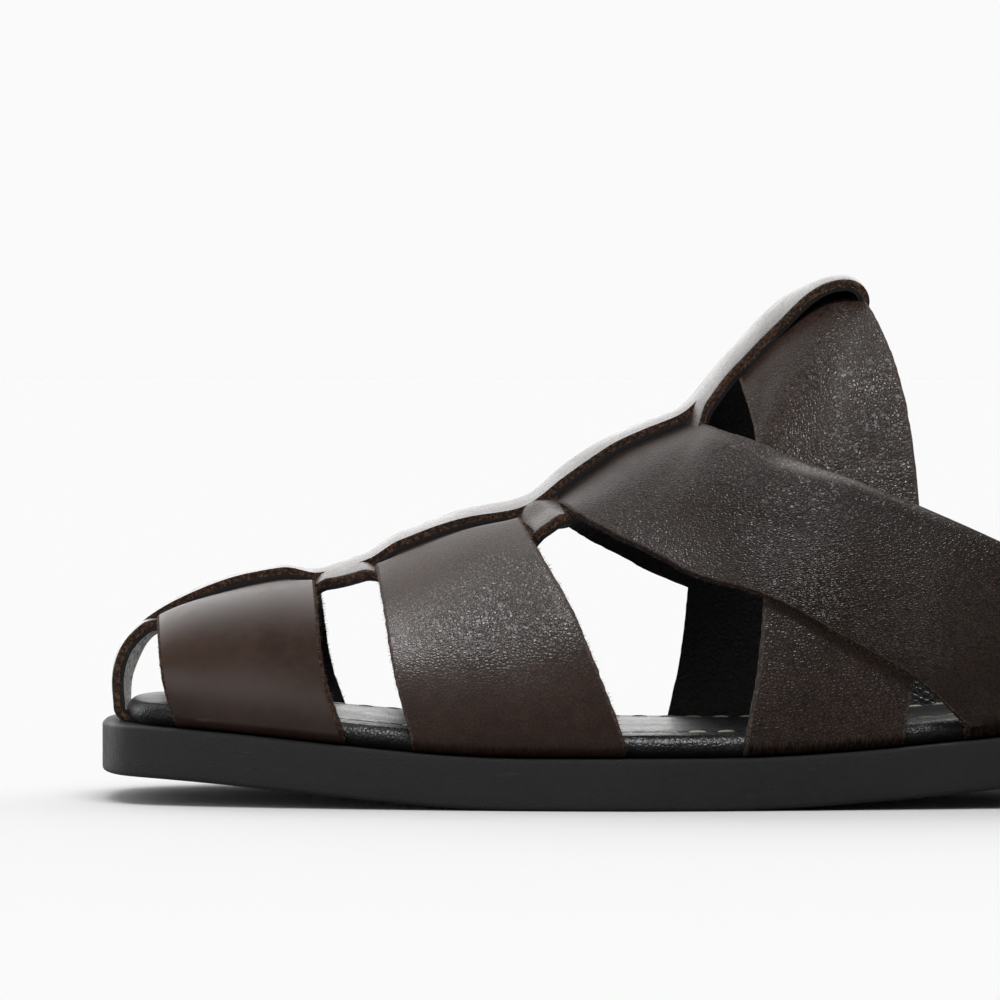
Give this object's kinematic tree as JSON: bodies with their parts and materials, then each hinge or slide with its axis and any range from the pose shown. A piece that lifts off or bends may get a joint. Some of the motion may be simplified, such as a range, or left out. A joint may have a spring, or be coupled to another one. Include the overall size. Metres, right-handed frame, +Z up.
{
  "type": "woven strap clog",
  "caption": "Backless left clog of woven leather straps on a flat rubber sole, with a centre spine from toe to instep, slanted side straps and a rolled black insole.",
  "frame": {"origin": "on the floor, under the middle of the outsole's outline box", "axes": "+X from the toe to the heel, -Y towards the lateral side, +Z up"},
  "size_m": [0.29, 0.1032, 0.1024],
  "materials": {
    "sole_rubber": "matte black moulded rubber",
    "insole_leather": "black smooth leather, soft sheen",
    "strap_leather": "dark brown fine-grained leather, satin, raw edges, black lining",
    "thread": "cream waxed thread"
  },
  "bodies": {
    "root": {"outsole": "sole_rubber", "heel_lift": "sole_rubber", "insole": "insole_leather", "upper": "strap_leather"}
  },
  "joints": []
}
